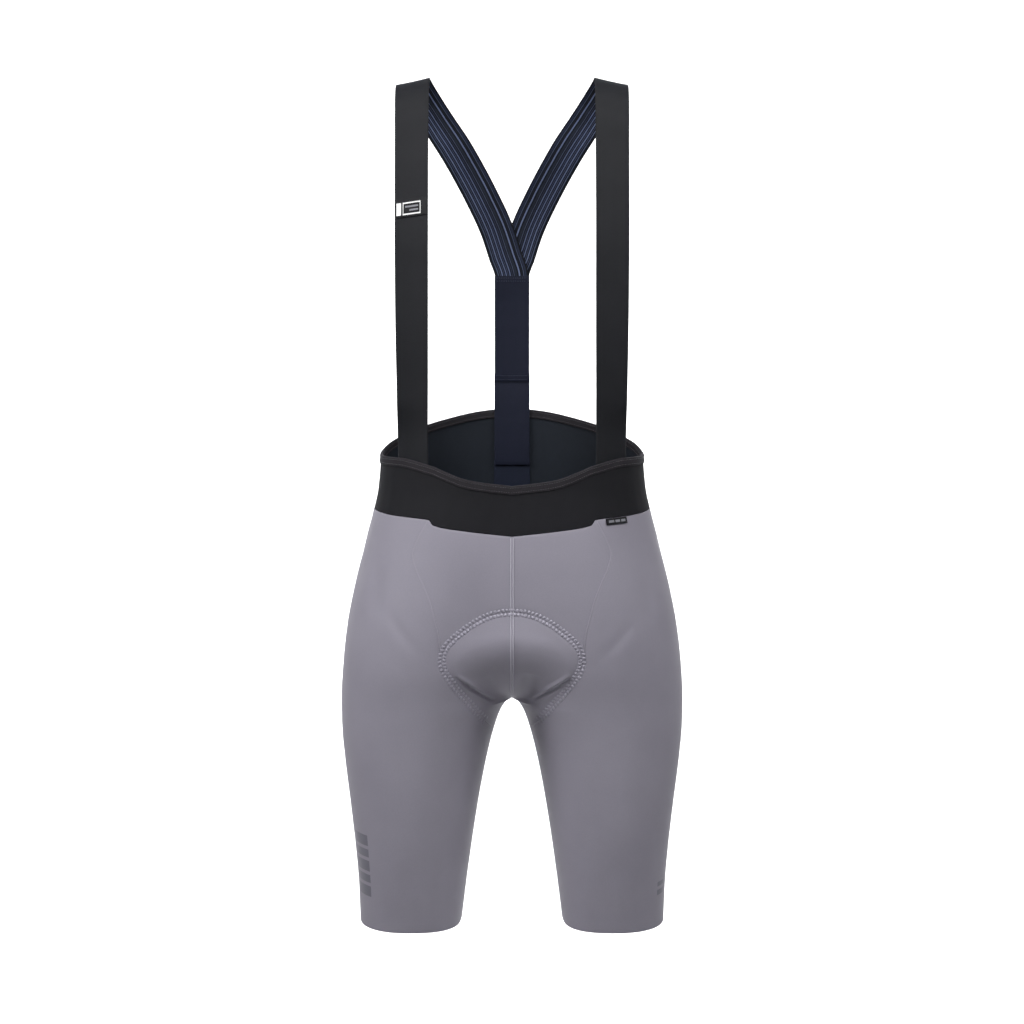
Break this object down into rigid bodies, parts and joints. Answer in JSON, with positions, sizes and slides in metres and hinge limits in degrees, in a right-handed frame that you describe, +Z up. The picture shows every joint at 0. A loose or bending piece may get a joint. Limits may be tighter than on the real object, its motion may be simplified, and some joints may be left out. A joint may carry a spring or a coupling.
{
  "type": "cycling bib shorts",
  "caption": "Close-fitting cycling shorts with a high elastic waistband, a seat pad and shoulder straps that meet in a Y at the back.",
  "frame": {"origin": "Midway between the tops of the two shoulder straps, where the wearer's shoulders carry the shorts; everything hangs below it.", "axes": "+Z up; the front faces -Y; +X is the wearer's left."},
  "size_m": [0.3778, 0.243, 0.9273],
  "materials": {
    "leg_cloth": "satin matte warp knit",
    "band_cloth": "matte elastic knit",
    "tape": "matte folded elastic tape",
    "webbing": "matte woven elastic, striped on the body side",
    "back_webbing": "matte woven elastic",
    "pad": "brushed cover over foam",
    "label": "matte woven label"
  },
  "bodies": {
    "root": {"front_panel_left": "leg_cloth", "front_panel_right": "leg_cloth", "leg_panel_left": "leg_cloth", "leg_panel_right": "leg_cloth", "waistband_front": "band_cloth", "waistband_back": "band_cloth", "binding_front": "tape", "binding_back": "tape", "shoulder_strap_left": "webbing", "shoulder_strap_right": "webbing", "back_strap_upper": "back_webbing", "back_strap_lower": "back_webbing", "strap_anchor_patch": "back_webbing", "seat_pad": "pad", "strap_label": "label", "waistband_tag": "label"}
  },
  "joints": []
}
